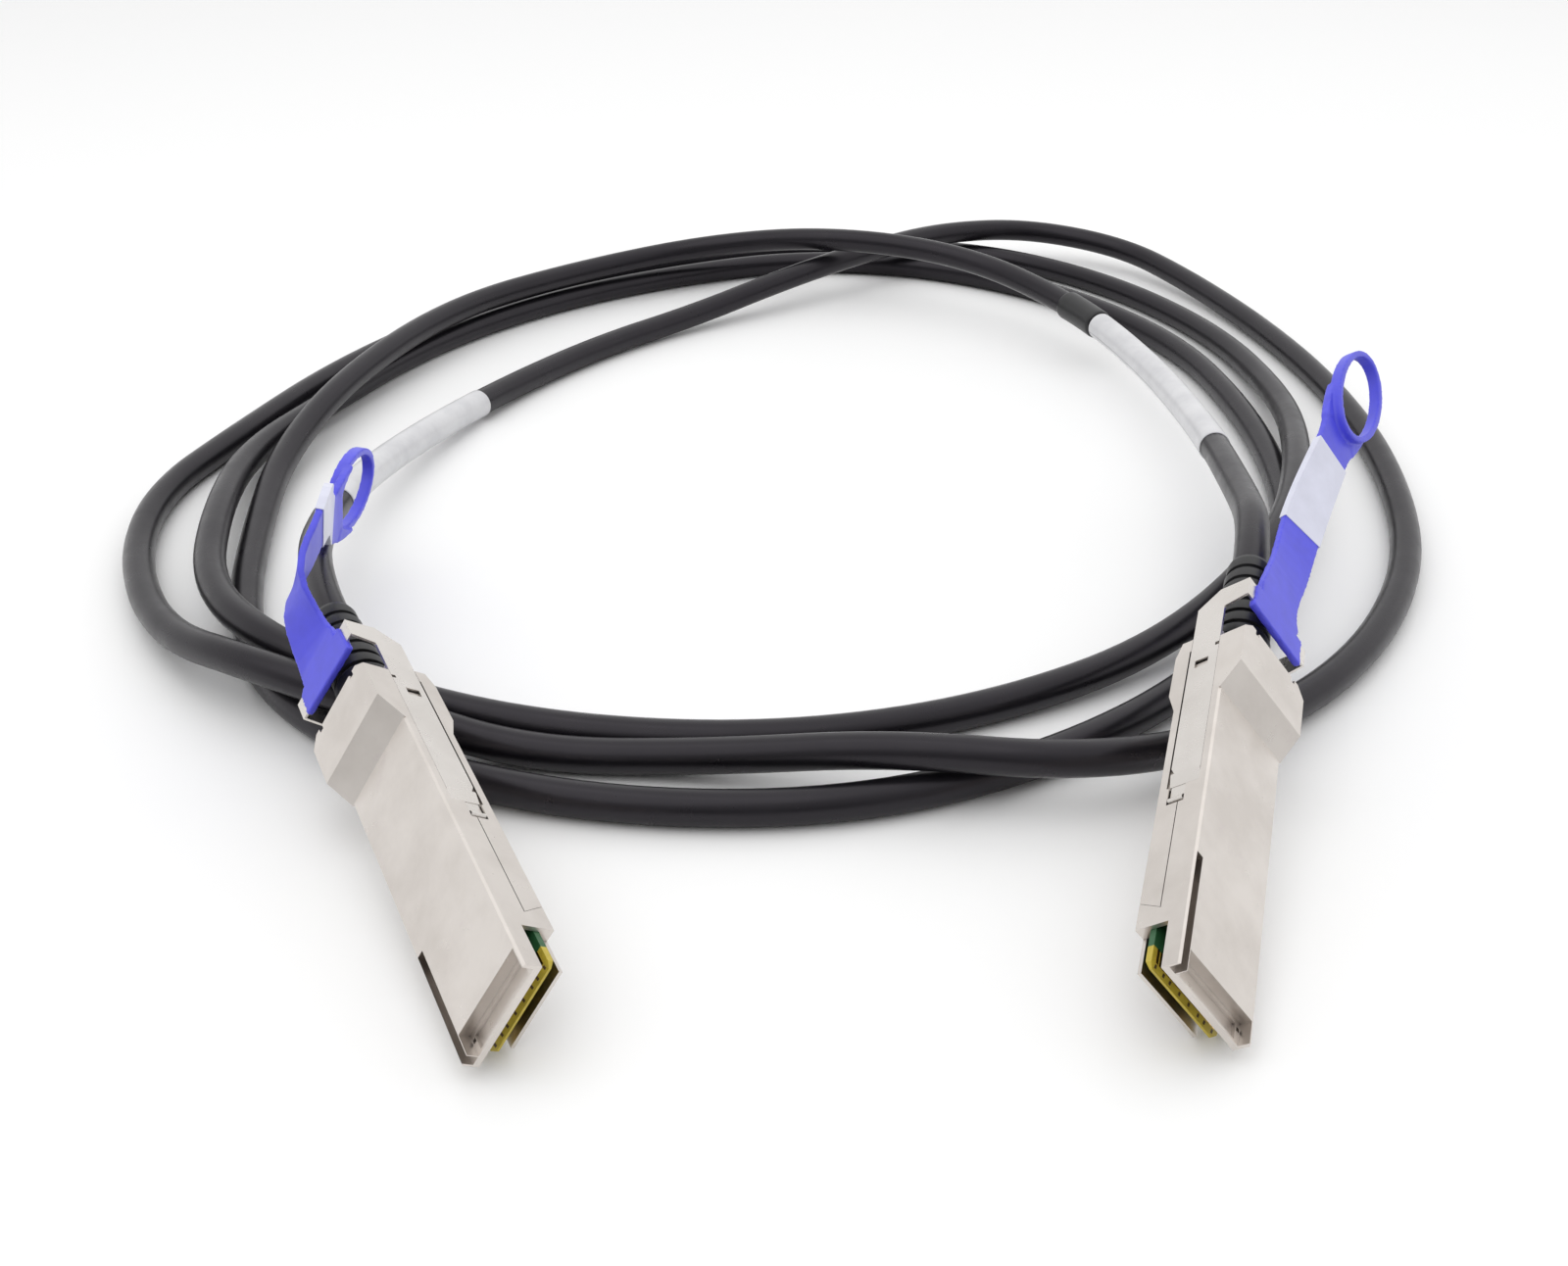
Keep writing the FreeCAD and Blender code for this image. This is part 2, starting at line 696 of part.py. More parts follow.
def loop_placement(bend):
    """The finger loop lies flat on from the strip's end."""
    middle, along, across, upward = tab_station(bend, tab_length(bend))
    centre = middle + along * (loop_length / 2)
    return FreeCAD.Placement(FreeCAD.Matrix(
        along.x, -across.x, upward.x, centre.x,
        along.y, -across.y, upward.y, centre.y,
        along.z, -across.z, upward.z, centre.z,
        0, 0, 0, 1))


def make_tab(line, film_start, film_length, latch):
    """The pull tab and the film wrapped around it."""
    bend = tab_line_curve(line)
    flare_end = tab_base_length + tab_flare_length
    shoulder_start = tab_length(bend) - shoulder_length
    distances = [0.0, tab_base_length]
    distances += [tab_base_length + tab_flare_length * step
                  for step in (0.02, 0.07, 0.15, 0.27, 0.42, 0.6, 0.8)]
    steps = 14
    distances += [flare_end + (shoulder_start - flare_end) * index / steps
                  for index in range(steps + 1)]
    distances += [shoulder_start + shoulder_length * step
                  for step in (0.3, 0.55, 0.75, 0.88, 0.96)]
    distances.append(tab_length(bend) + 2 * loop_band)
    ribbon = strip(bend, distances)
    ring = oval(loop_length, loop_width, loop_depth)
    hole = oval(loop_length - 2 * loop_band, loop_width - 2 * loop_band, loop_length)
    pose = loop_placement(bend)
    ring.Placement = pose
    hole.Placement = pose
    tab = ribbon.fuse(ring).cut(hole).cut(latch)

    steps = 8
    wrapped = [film_start + film_length * index / steps for index in range(steps + 1)]
    wrap = strip(bend, wrapped, tab_label_film)
    return tab, wrap.cut(ribbon)


# ---- The cable ----

def route_points():
    """Out of the left boot, over the table and into the right boot."""
    ends = []
    for place in (left_place, right_place):
        pose = placement(place)
        for y in (boot_end, boot_end + straight_exit):
            ends.append(pose.multVec(FreeCAD.Vector(0, y, cable_height)))
    between = [FreeCAD.Vector(*point) for point in route_between]
    return [ends[0], ends[1]] + between + [ends[3], ends[2]]


def route_edges():
    """Straight runs joined by tangent arcs, and the radius of every arc."""
    points = route_points()
    edges = []
    radii = []
    start = points[0]
    for before, corner, after in zip(points, points[1:], points[2:]):
        reach = 0.45 * min((corner - before).Length, (after - corner).Length)
        way_in = (corner - before).normalize()
        way_out = (after - corner).normalize()
        turn = way_in.getAngle(way_out)
        radii.append(reach / math.tan(turn / 2))
        arc_start = corner - way_in * reach
        arc_end = corner + way_out * reach
        bulge = radii[-1] * (1 / math.cos(turn / 2) - 1)
        arc_middle = corner + (way_out - way_in).normalize() * bulge
        edges.append(Part.LineSegment(start, arc_start).toShape())
        edges.append(Part.Arc(arc_start, arc_middle, arc_end).toShape())
        start = arc_end
    edges.append(Part.LineSegment(start, points[-1]).toShape())
    return edges, radii


def stretch(edges, start, end):
    """The part of the route between two distances from its beginning."""
    pieces = []
    passed = 0.0
    for edge in edges:
        low = max(start - passed, 0.0)
        high = min(end - passed, edge.Length)
        if high - low > 0.01:
            pieces.append(edge.Curve.toShape(edge.getParameterByLength(low),
                                             edge.getParameterByLength(high)))
        passed += edge.Length
    return Part.Wire(pieces)


def tube(path, radius):
    first = path.Edges[0]
    start = first.valueAt(first.FirstParameter)
    direction = first.tangentAt(first.FirstParameter)
    ring = Part.Wire([Part.Circle(start, direction, radius).toShape()])
    return path.makePipeShell([ring], True, False)


def sleeve(edges, start, end, inner, outer):
    path = stretch(edges, start, end)
    return tube(path, outer).cut(tube(path, inner))


def make_cable():
    edges, radii = route_edges()
    length = sum(edge.Length for edge in edges)
    nodes = {}
    for index in range(cable_pieces):
        start = length * index / cable_pieces
        end = length * (index + 1) / cable_pieces
        solid = tube(stretch(edges, start, end), cable_radius)
        expected = math.pi * cable_radius ** 2 * (end - start)
        print(f"cable length {index + 1}: volume {solid.Volume / expected:.4f} of expected")
        nodes[f"cable_{index + 1}"] = solid
    label_inner = cable_radius + 0.05
    label_outer = label_inner + cable_label_film
    left_end = left_label_start + left_label_length
    right_end = length - right_label_start
    right_begin = right_end - right_label_length
    shrink_end = right_begin - shrink_gap
    shrink_begin = shrink_end - shrink_length
    nodes["left_cable_label"] = sleeve(edges, left_label_start, left_end,
                                       label_inner, label_outer)
    nodes["right_cable_label"] = sleeve(edges, right_begin, right_end,
                                        label_inner, label_outer)
    nodes["heat_shrink"] = sleeve(edges, shrink_begin, shrink_end,
                                  label_inner, label_inner + shrink_wall)
    print(f"cable {length:.0f} mm, {len(route_between) + 4} points")
    print("arc radii", [round(radius) for radius in radii])
    return nodes


# ---- The whole part ----

def connector(side, tab_line, film_start, film_length):
    top, bottom = make_shells()
    card = make_card()
    latch = make_latch()
    tab, label = make_tab(tab_line, film_start, film_length, latch)
    screw = make_screw()
    return {
        f"{side}_top_shell": top,
        f"{side}_bottom_shell": bottom,
        f"{side}_paddle_card": card,
        f"{side}_pads_top": make_pads(card_top),
        f"{side}_pads_bottom": make_pads(card_bottom - pad_thickness),
        f"{side}_eeprom_chip": make_chip(),
        f"{side}_solder_block": make_solder_block(card),
        f"{side}_leads": make_leads(),
        f"{side}_cable_end": make_cable_end(),
        f"{side}_ferrule": make_ferrule(),
        f"{side}_boot": make_boot(),
        f"{side}_screw_a": screw,
        f"{side}_screw_b": mirrored(screw),
        f"{side}_latch_slide": latch,
        f"{side}_pull_tab": tab,
        f"{side}_tab_label": label,
    }


def placement(place):
    """Roll about the long axis first, then pitch, then yaw, then move."""
    (x, y, z), (yaw, pitch, roll) = place
    turn = FreeCAD.Rotation(FreeCAD.Vector(0, 0, 1), yaw)
    turn = turn.multiply(FreeCAD.Rotation(FreeCAD.Vector(1, 0, 0), pitch))
    turn = turn.multiply(FreeCAD.Rotation(FreeCAD.Vector(0, 1, 0), roll))
    return FreeCAD.Placement(FreeCAD.Vector(x, y, z), turn)


def placed(shape, place):
    moved = shape.copy()
    moved.Placement = placement(place).multiply(moved.Placement)
    return moved


def main():
    os.makedirs("parts", exist_ok=True)
    nodes = make_cable()
    for side, place, *tab in (
            ("left", left_place, left_tab_line, left_film_start, left_film_length),
            ("right", right_place, right_tab_line, right_film_start, right_film_length)):
        for name, shape in connector(side, *tab).items():
            nodes[name] = placed(shape, place)
    for name, shape in nodes.items():
        shape.exportStep(f"parts/{name}.step")
        print(f"{name}: {len(shape.Solids)} solid, valid {shape.isValid()}, "
              f"{shape.Volume:.1f} mm3")


main()
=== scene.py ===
import bpy
import json
import math
from mathutils import Matrix, Vector


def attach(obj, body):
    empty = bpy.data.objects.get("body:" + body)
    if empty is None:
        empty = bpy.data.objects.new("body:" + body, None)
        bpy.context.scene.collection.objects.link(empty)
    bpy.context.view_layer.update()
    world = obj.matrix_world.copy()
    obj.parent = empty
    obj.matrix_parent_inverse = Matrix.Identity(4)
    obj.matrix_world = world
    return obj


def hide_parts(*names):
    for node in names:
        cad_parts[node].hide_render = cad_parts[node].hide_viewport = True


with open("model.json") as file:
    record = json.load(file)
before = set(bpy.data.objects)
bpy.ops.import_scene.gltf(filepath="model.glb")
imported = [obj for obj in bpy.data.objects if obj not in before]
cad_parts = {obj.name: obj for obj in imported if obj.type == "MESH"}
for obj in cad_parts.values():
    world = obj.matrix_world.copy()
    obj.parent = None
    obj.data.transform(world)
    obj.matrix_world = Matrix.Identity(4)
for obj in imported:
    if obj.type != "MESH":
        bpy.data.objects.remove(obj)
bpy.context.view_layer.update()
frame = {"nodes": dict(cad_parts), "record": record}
nodes = frame["nodes"]
scene = bpy.context.scene
mm = 0.001

# where each connector lies: its nose, then its yaw, pitch and roll
connectors = {
    "left": {"nose": (-55.82, -79.21, 11.44), "turn": (26.2, 5.3, -57.6)},
    "right": {"nose": (42.98, -76.21, 10.92), "turn": (-16.8, 9.2, 51.8)},
}


# a connector's own frame: across, back from the nose, up from the top face
def poseOf(side):
    how = connectors[side]
    yaw, pitch, roll = [math.radians(angle) for angle in how["turn"]]
    turn = Matrix.Rotation(yaw, 4, "Z") @ Matrix.Rotation(pitch, 4, "X")
    turn = turn @ Matrix.Rotation(roll, 4, "Y")
    return Matrix.Translation([c * mm for c in how["nose"]]) @ turn


def deselectAll():
    if bpy.context.object and bpy.context.object.mode != "OBJECT":
        bpy.ops.object.mode_set(mode="OBJECT")
    bpy.ops.object.select_all(action="DESELECT")


def pickOnly(piece):
    deselectAll()
    piece.select_set(True)
    bpy.context.view_layer.objects.active = piece


def newMaterial(name):
    material = bpy.data.materials.new(name)
    material.use_nodes = True
    tree = material.node_tree
    return material, tree, tree.nodes["Principled BSDF"]


def grey(value):
    return (value, value, value, 1)


# a noise given as its scale, detail and roughness
def noiseInto(tree, settings):
    place = tree.nodes.new("ShaderNodeTexCoord")
    noise = tree.nodes.new("ShaderNodeTexNoise")
    for socket, value in zip(("Scale", "Detail", "Roughness"), settings):
        noise.inputs[socket].default_value = value
    tree.links.new(place.outputs["Object"], noise.inputs["Vector"])
    return noise


def ramp(tree, source, stops):
    band = tree.nodes.new("ShaderNodeValToRGB")
    band.color_ramp.elements[0].position = stops[0][0]
    band.color_ramp.elements[0].color = stops[0][1]
    band.color_ramp.elements[1].position = stops[-1][0]
    band.color_ramp.elements[1].color = stops[-1][1]
    for place, colour in stops[1:-1]:
        step = band.color_ramp.elements.new(place)
        step.color = colour
    tree.links.new(source, band.inputs["Fac"])
    return band


def blend(tree, factor, first, second):
    mix = tree.nodes.new("ShaderNodeMix")
    mix.data_type = "RGBA"
    tree.links.new(factor, mix.inputs["Factor"])
    for socket, colour in (("A", first), ("B", second)):
        if isinstance(colour, tuple):
            mix.inputs[socket].default_value = colour
        else:
            tree.links.new(colour, mix.inputs[socket])
    return mix.outputs["Result"]


bumpDepth = 0.1      # how deep every bump's full strength is, in mm


def bump(tree, shader, source, strength):
    node = tree.nodes.new("ShaderNodeBump")
    node.inputs["Strength"].default_value = strength
    node.inputs["Distance"].default_value = bumpDepth * mm
    tree.links.new(source, node.inputs["Height"])
    tree.links.new(node.outputs["Normal"], shader.inputs["Normal"])


# from a first colour to a second, between two levels of a noise
def cloudTint(tree, cloud, levels, first, second):
    stops = [(levels[0], (*first, 1)), (levels[1], (*second, 1))]
    return ramp(tree, cloud.outputs["Fac"], stops).outputs["Color"]


# gloss that wanders between two roughnesses
def cloudRough(tree, shader, haze, levels, rough):
    stops = [(level, grey(value)) for level, value in zip(levels, rough)]
    band = ramp(tree, haze.outputs["Fac"], stops)
    tree.links.new(band.outputs["Color"], shader.inputs["Roughness"])


# satin plate: cloudy tint, faint rosy stains, smudged gloss, and painted shade that darkens the
# crevices
nickel = {
    "shell": {"dark": (0.635, 0.59, 0.55), "light": (0.725, 0.68, 0.64), "rough": (0.26, 0.38),
              "stains": 0.5},
    "latch": {"dark": (0.67, 0.635, 0.60), "light": (0.74, 0.705, 0.67), "rough": (0.25, 0.33),
              "stains": 0.12},
    "smudges": (60, 5, 0.6), "smudgeLevels": (0.35, 0.6),
    "patches": (95, 8, 0.78), "patchLevels": (0.60, 0.74), "stain": (0.60, 0.53, 0.53),
    "mist": (210, 6, 0.7), "mistLevels": (0.3, 0.72),
    "grain": (1500, 4, 0.6), "grainBump": 0.04,
    # painted shade: a wide soft shade in the corners, then a fine dark shade in the crevices; how
    # open a corner is, from and to
    "corners": [
        {"colour": (0.24, 0.215, 0.20), "reach": 2.6, "from": 0.08, "to": 0.62, "most": 0.6},
        {"colour": (0.05, 0.043, 0.04), "reach": 0.4, "from": 0.10, "to": 0.55, "most": 1.0},
    ],
    "cornerSamples": 6,
}


def makeNickel(name, finish):
    material, tree, shader = newMaterial(name)
    shader.inputs["Metallic"].default_value = 1.0
    tint = cloudTint(tree, noiseInto(tree, nickel["smudges"]), nickel["smudgeLevels"],
                     finish["dark"], finish["light"])
    patches = noiseInto(tree, nickel["patches"])
    clean, stained = nickel["patchLevels"]
    stains = ramp(tree, patches.outputs["Fac"], [
        (clean, grey(0)), (stained, grey(finish["stains"]))])
    colour = blend(tree, stains.outputs["Color"], tint, (*nickel["stain"], 1))
    # painted shade: the base colour goes darker wherever the AO node finds the surface closed in
    for how in nickel["corners"]:
        corner = tree.nodes.new("ShaderNodeAmbientOcclusion")
        corner.samples = nickel["cornerSamples"]
        corner.inputs["Distance"].default_value = how["reach"] * mm
        paintedShade = ramp(tree, corner.outputs["AO"], [
            (how["from"], grey(how["most"])), (how["to"], grey(0))])
        colour = blend(tree, paintedShade.outputs["Color"], colour, (*how["colour"], 1))
    tree.links.new(colour, shader.inputs["Base Color"])
    cloudRough(tree, shader, noiseInto(tree, nickel["mist"]), nickel["mistLevels"],
               finish["rough"])
    grain = noiseInto(tree, nickel["grain"])
    bump(tree, shader, grain.outputs["Fac"], nickel["grainBump"])
    return material


# black jacket with a faint violet sheen
jacket = {"dark": (0.0055, 0.005, 0.0065), "light": (0.010, 0.009, 0.0115),
          "clouds": (45, 5, 0.65), "cloudLevels": (0.3, 0.75),
          "rough": (0.25, 0.37), "haze": (120, 5, 0.7), "hazeLevels": (0.3, 0.7),
          "gloss": 0.40, "sheen": (0.97, 0.91, 1.0), "grain": (2600, 3, 0.55), "grainBump": 0.16}


def makeJacket():
    material, tree, shader = newMaterial("cableJacket")
    tint = cloudTint(tree, noiseInto(tree, jacket["clouds"]), jacket["cloudLevels"],
                     jacket["dark"], jacket["light"])
    tree.links.new(tint, shader.inputs["Base Color"])
    cloudRough(tree, shader, noiseInto(tree, jacket["haze"]), jacket["hazeLevels"],
               jacket["rough"])
    shader.inputs["Specular IOR Level"].default_value = jacket["gloss"]
    shader.inputs["Specular Tint"].default_value = (*jacket["sheen"], 1)
    grain = noiseInto(tree, jacket["grain"])
    bump(tree, shader, grain.outputs["Fac"], jacket["grainBump"])
    return material


# the smaller parts, each with what differs from the usual
plain = {
    "usual": {"metal": 0.0, "scale": 400, "shift": 0.12, "bump": 0.05},
    "clouds": (4, 0.6), "cloudLevels": (0.3, 0.7),
    "blueTab": {"colour": (0.085, 0.085, 0.76), "rough": 0.40, "scale": 260, "shift": 0.06,
                "bump": 0.08},
    "tabFilm": {"colour": (0.72, 0.73, 0.86), "rough": 0.30, "scale": 180, "shift": 0.05},
    "contactStub": {"colour": (0.09, 0.055, 0.02), "rough": 0.4},
    "bootRubber": {"colour": (0.014, 0.014, 0.015), "rough": 0.44, "bump": 0.1},
    "shrinkSleeve": {"colour": (0.012, 0.012, 0.013), "rough": 0.36, "bump": 0.1},
    "brass": {"colour": (0.78, 0.60, 0.30), "rough": 0.3, "metal": 1.0},
    "contactGold": {"colour": (0.85, 0.58, 0.18), "rough": 0.25, "metal": 1.0},
    "chipBody": {"colour": (0.015, 0.015, 0.015), "rough": 0.4},
    "potting": {"colour": (0.75, 0.7, 0.58), "rough": 0.5},
    "leadSkin": {"colour": (0.8, 0.8, 0.76), "rough": 0.35},
    "screwSteel": {"colour": (0.5, 0.5, 0.51), "rough": 0.3, "metal": 1.0},
}


def makePlain(name):
    material, tree, shader = newMaterial(name)
    how = {**plain["usual"], **plain[name]}
    low = [c * (1 - how["shift"]) for c in how["colour"]]
    high = [min(1, c * (1 + how["shift"])) for c in how["colour"]]
    cloud = noiseInto(tree, (how["scale"], *plain["clouds"]))
    tint = cloudTint(tree, cloud, plain["cloudLevels"], low, high)
    tree.links.new(tint, shader.inputs["Base Color"])
    shader.inputs["Roughness"].default_value = how["rough"]
    shader.inputs["Metallic"].default_value = how["metal"]
    bump(tree, shader, cloud.outputs["Fac"], how["bump"])
    return material


# laminate: bare and yellow round the contacts, green mask behind them
card = {"bare": (0.60, 0.47, 0.05), "mask": (0.03, 0.13, 0.05), "edge": 5.6, "rough": 0.38,
        "weave": (900, 3, 0.6), "weaveLevels": (0.3, 0.7), "dim": 0.8, "weaveBump": 0.08}


def makeCard(side):
    material, tree, shader = newMaterial(side + "Card")
    pose = poseOf(side)
    back = Vector(pose.col[1][:3])
    place = tree.nodes.new("ShaderNodeTexCoord")
    depth = tree.nodes.new("ShaderNodeVectorMath")
    depth.operation = "DOT_PRODUCT"
    depth.inputs[1].default_value = back
    tree.links.new(place.outputs["Object"], depth.inputs[0])
    behind = tree.nodes.new("ShaderNodeMath")
    behind.operation = "GREATER_THAN"
    behind.inputs[1].default_value = pose.translation.dot(back) + card["edge"] * mm
    tree.links.new(depth.outputs["Value"], behind.inputs[0])
    weave = noiseInto(tree, card["weave"])
    skins = []
    for skin in ("bare", "mask"):
        dim = [c * card["dim"] for c in card[skin]]
        skins.append(cloudTint(tree, weave, card["weaveLevels"], dim, card[skin]))
    colour = blend(tree, behind.outputs["Value"], *skins)
    tree.links.new(colour, shader.inputs["Base Color"])
    shader.inputs["Roughness"].default_value = card["rough"]
    bump(tree, shader, weave.outputs["Fac"], card["weaveBump"])
    return material


# label film: milky, with the darker line of its own overlap along the underside
film = {"white": (0.72, 0.72, 0.735), "shade": (0.63, 0.63, 0.65), "line": (0.16, 0.16, 0.17),
        "clouds": (120, 4, 0.6), "cloudLevels": (0.35, 0.6), "overlap": 0.70, "width": 0.012,
        "sharp": 0.002, "rough": 0.28, "bump": 0.06}


def makeFilm():
    material, tree, shader = newMaterial("cableFilm")
    cloud = noiseInto(tree, film["clouds"])
    tint = cloudTint(tree, cloud, film["cloudLevels"], film["shade"], film["white"])
    wrap = tree.nodes.new("ShaderNodeUVMap")
    wrap.uv_map = "around"
    parts = tree.nodes.new("ShaderNodeSeparateXYZ")
    tree.links.new(wrap.outputs["UV"], parts.inputs["Vector"])
    here = film["overlap"]
    edge = ramp(tree, parts.outputs["Y"], [
        (here - film["width"], grey(0)), (here, grey(1)), (here + film["sharp"], grey(0))])
    colour = blend(tree, edge.outputs["Color"], tint, (*film["line"], 1))
    tree.links.new(colour, shader.inputs["Base Color"])
    shader.inputs["Roughness"].default_value = film["rough"]
    bump(tree, shader, cloud.outputs["Fac"], film["bump"])
    return material


finishes = {
    "nickel_shell": makeNickel("shellNickel", nickel["shell"]),
    "latch_sheet": makeNickel("latchNickel", nickel["latch"]),
    "black_jacket": makeJacket(),
    "blue_tab": makePlain("blueTab"),
    "label_film": makePlain("tabFilm"),
    "cable_film": makeFilm(),
    "contact_stub": makePlain("contactStub"),
    "black_boot": makePlain("bootRubber"),
    "black_shrink": makePlain("shrinkSleeve"),
    "ferrule_brass": makePlain("brass"),
    "contact_gold": makePlain("contactGold"),
    "chip_black": makePlain("chipBody"),
    "potting": makePlain("potting"),
    "lead_insulation": makePlain("leadSkin"),
    "screw_steel": makePlain("screwSteel"),
    "left_card": makeCard("left"),
    "right_card": makeCard("right"),
}
for entry in frame["record"]["subparts"]:
    node, slot = entry["node"], entry["material_slot"]
    finish = node.split("_")[0] + "_card" if slot == "card_green" else slot
    mesh = nodes[node].data
    mesh.materials.clear()
    mesh.materials.append(finishes[finish])
print("finishes on the frame")


weld = {"gap": 0.000004, "flat": 0.4}      # metres, degrees


# a whole, welded copy of a CAD node's mesh to work on
def mergedCopy(nodeName, name):
    piece = bpy.data.objects.new(name, nodes[nodeName].data.copy())
    scene.collection.objects.link(piece)
    pickOnly(piece)
    bpy.ops.object.mode_set(mode="EDIT")
    bpy.ops.mesh.select_all(action="SELECT")
    bpy.ops.mesh.remove_doubles(threshold=weld["gap"])
    bpy.ops.mesh.dissolve_limited(angle_limit=math.radians(weld["flat"]))
    bpy.ops.object.mode_set(mode="OBJECT")
    return piece


# closes up the slivers that the cuts leave
def dropSlivers(piece):
    pickOnly(piece)
    bpy.ops.object.mode_set(mode="EDIT")
    bpy.ops.mesh.select_all(action="SELECT")
    bpy.ops.mesh.dissolve_degenerate(threshold=weld["gap"])
    bpy.ops.object.mode_set(mode="OBJECT")


soften = {"segments": 2, "smoothTo": 32, "flatWeight": 100}


def softenEdges(piece, width, angle):
    pickOnly(piece)
    rounding = piece.modifiers.new("edges", "BEVEL")
    rounding.width = width * mm
    rounding.segments = soften["segments"]
    rounding.limit_method = "ANGLE"
    rounding.angle_limit = math.radians(angle)
    rounding.use_clamp_overlap = True
    bpy.ops.object.modifier_apply(modifier=rounding.name)
    bpy.ops.object.shade_smooth_by_angle(angle=math.radians(soften["smoothTo"]))
    flats = piece.modifiers.new("flats", "WEIGHTED_NORMAL")   # keeps the flats flat
    flats.keep_sharp = True
    flats.weight = soften["flatWeight"]
    bpy.ops.object.modifier_apply(modifier=flats.name)


# a box between two corners of a connector's own frame
def makeBox(pose, low, high):
    deselectAll()
    bpy.ops.mesh.primitive_cube_add(size=1)
    box = bpy.context.object
    middle = Vector([(a + b) / 2 * mm for a, b in zip(low, high)])
    size = [(b - a) * mm for a, b in zip(low, high)]
    box.data.transform(pose @ Matrix.Translation(middle) @ Matrix.Diagonal((*size, 1)))
    return box


# a flat outline raised to a solid
def makePrism(outline, rise):
    deselectAll()
    bpy.ops.mesh.primitive_circle_add(vertices=len(outline), fill_type="NGON", calc_uvs=False)
    prism = bpy.context.object
    for vertex, corner in zip(prism.data.vertices, outline):
        vertex.co = corner
    bpy.ops.object.mode_set(mode="EDIT")
    bpy.ops.mesh.select_all(action="SELECT")
    bpy.ops.mesh.extrude_region_move(TRANSFORM_OT_translate={"value": rise})
    bpy.ops.mesh.select_all(action="SELECT")
    bpy.ops.mesh.normals_make_consistent(inside=False)
    bpy.ops.object.mode_set(mode="OBJECT")
    return prism


# cuts a tool out of the piece, or joins it on, and puts the tool away
def combine(piece, tool, operation):
    pickOnly(piece)
    change = piece.modifiers.new("change", "BOOLEAN")
    change.operation = operation
    change.solver = "EXACT"
    change.object = tool
    bpy.ops.object.modifier_apply(modifier=change.name)
    bpy.data.objects.remove(tool)


# the same box out of the right and the left of a piece
def cutBothSides(piece, pose, box):
    (x0, y0, z0), (x1, y1, z1) = box["low"], box["high"]
    combine(piece, makeBox(pose, (x0, y0, z0), (x1, y1, z1)), "DIFFERENCE")
    combine(piece, makeBox(pose, (-x1, y0, z0), (-x0, y1, z1)), "DIFFERENCE")


# what is redone from its CAD node with softened edges
dressed = {
    "top_shell": {"name": "UpperShell", "width": 0.10, "angle": 28, "slot": "nickel_shell"},
    "bottom_shell": {"name": "LowerShell", "width": 0.10, "angle": 28, "slot": "nickel_shell"},
    "latch_slide": {"name": "LatchSlide", "width": 0.07, "angle": 28, "slot": "latch_sheet"},
    "boot": {"name": "Boot", "width": 0.25, "angle": 30, "slot": "black_boot"},
}
# the nose pocket's lower floor, which leaves a ledge behind and a rim in front
nosePocket = {"low": (-6.3, 0.45, -2.4), "high": (7.5, 3.2, -1.85)}
# the gap under the latch's side plates
plateGap = {"low": (8.70, 37.6, -7.22), "high": (10.5, 72.0, -6.93)}
# the latch's bridge is narrowed behind the tab's wide base
bridgeEnd = {"low": (5.3, 87.0, -8.0), "high": (12.0, 92.0, 4.0)}
# each side plate's front end slopes down into the recess, to a thin toe
plateEnd = {"outer": 9.15, "sheet": 0.4, "clear": 0.002, "start": 40.5, "end": 38.0,
            "into": 0.3, "lead": 0.1, "toe": 0.06, "low": -6.9, "high": -1.6}


def slopePlate(piece, pose, sign):
    inner = plateEnd["outer"] - plateEnd["sheet"]
    outer = plateEnd["outer"] - plateEnd["clear"]      # a hair under the plate's own face
    start, end = plateEnd["start"], plateEnd["end"]
    root = start + plateEnd["into"]
    plan = [(inner, root), (outer, root), (outer, start - plateEnd["lead"]),
            (inner + plateEnd["toe"], end), (inner, end)]
    low, high = plateEnd["low"], plateEnd["high"]
    outline = [pose @ Vector((sign * x * mm, y * mm, low * mm)) for x, y in plan]
    rise = pose.to_3x3() @ Vector((0, 0, (high - low) * mm))
    combine(piece, makePrism(outline, rise), "UNION")


def dressConnector(side):
    pose = poseOf(side)
    for node, how in dressed.items():
        piece = mergedCopy(side + "_" + node, side + how["name"])
        if node == "top_shell":
            combine(piece, makeBox(pose, nosePocket["low"], nosePocket["high"]), "DIFFERENCE")
        if node == "bottom_shell":
            cutBothSides(piece, pose, plateGap)
        if node == "latch_slide":
            slopePlate(piece, pose, 1)
            slopePlate(piece, pose, -1)
            cutBothSides(piece, pose, bridgeEnd)
        dropSlivers(piece)
        softenEdges(piece, how["width"], how["angle"])
        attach(piece, side + "_latch" if node == "latch_slide" else "base")
        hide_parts(side + "_" + node)
        print(piece.name, len(piece.data.polygons), "faces")


# soft moulded tab: the base thinned to its real lip, everything gently rounded
pullTab = {
    "front": 81.0, "flat": 6.0, "flare": 12.6, "thin": 0.38,
    "grid": 0.26, "relax": 0.5, "smooth": 5,
    # two boxes that fill the slot round the bridge, lowest and highest corners
    "bridge": [((-7.2, 82.3, 2.4), (7.2, 87.0, 3.0)), ((-5.6, 86.0, 2.4), (5.6, 90.7, 3.0))],
    # each loop's middle and directions, and the web that runs from the strip into it
    "loops": {
        "left": {"middle": (-103.556, 59.176, 24.765), "along": (0.064, 0.9959, -0.0636),
                 "across": (0.1168, 0.0558, 0.9916)},
        "right": {"middle": (98.918, 68.720, 41.071), "along": (0.4186, 0.8843, 0.2069),
                  "across": (0.5742, -0.0811, -0.8147)},
    },
    "web": [(3.4, -11.9), (5.4, -14.4), (6.15, -11.6), (6.75, -8.6), (7.1, -4.4),
            (6.4, -4.4), (5.6, -7.4)],
    "webHalf": 0.8,
}


# flat webs that carry the strip's edges on into the loop's
def makeWeb(side, sign):
    how = pullTab["loops"][side]
    middle, along, across = [Vector(how[key]) for key in ("middle", "along", "across")]
    half = across.cross(along).normalized() * pullTab["webHalf"]
    outline = [(middle + across * sign * x + along * y - half) * mm for x, y in pullTab["web"]]
    return makePrism(outline, half * 2 * mm)


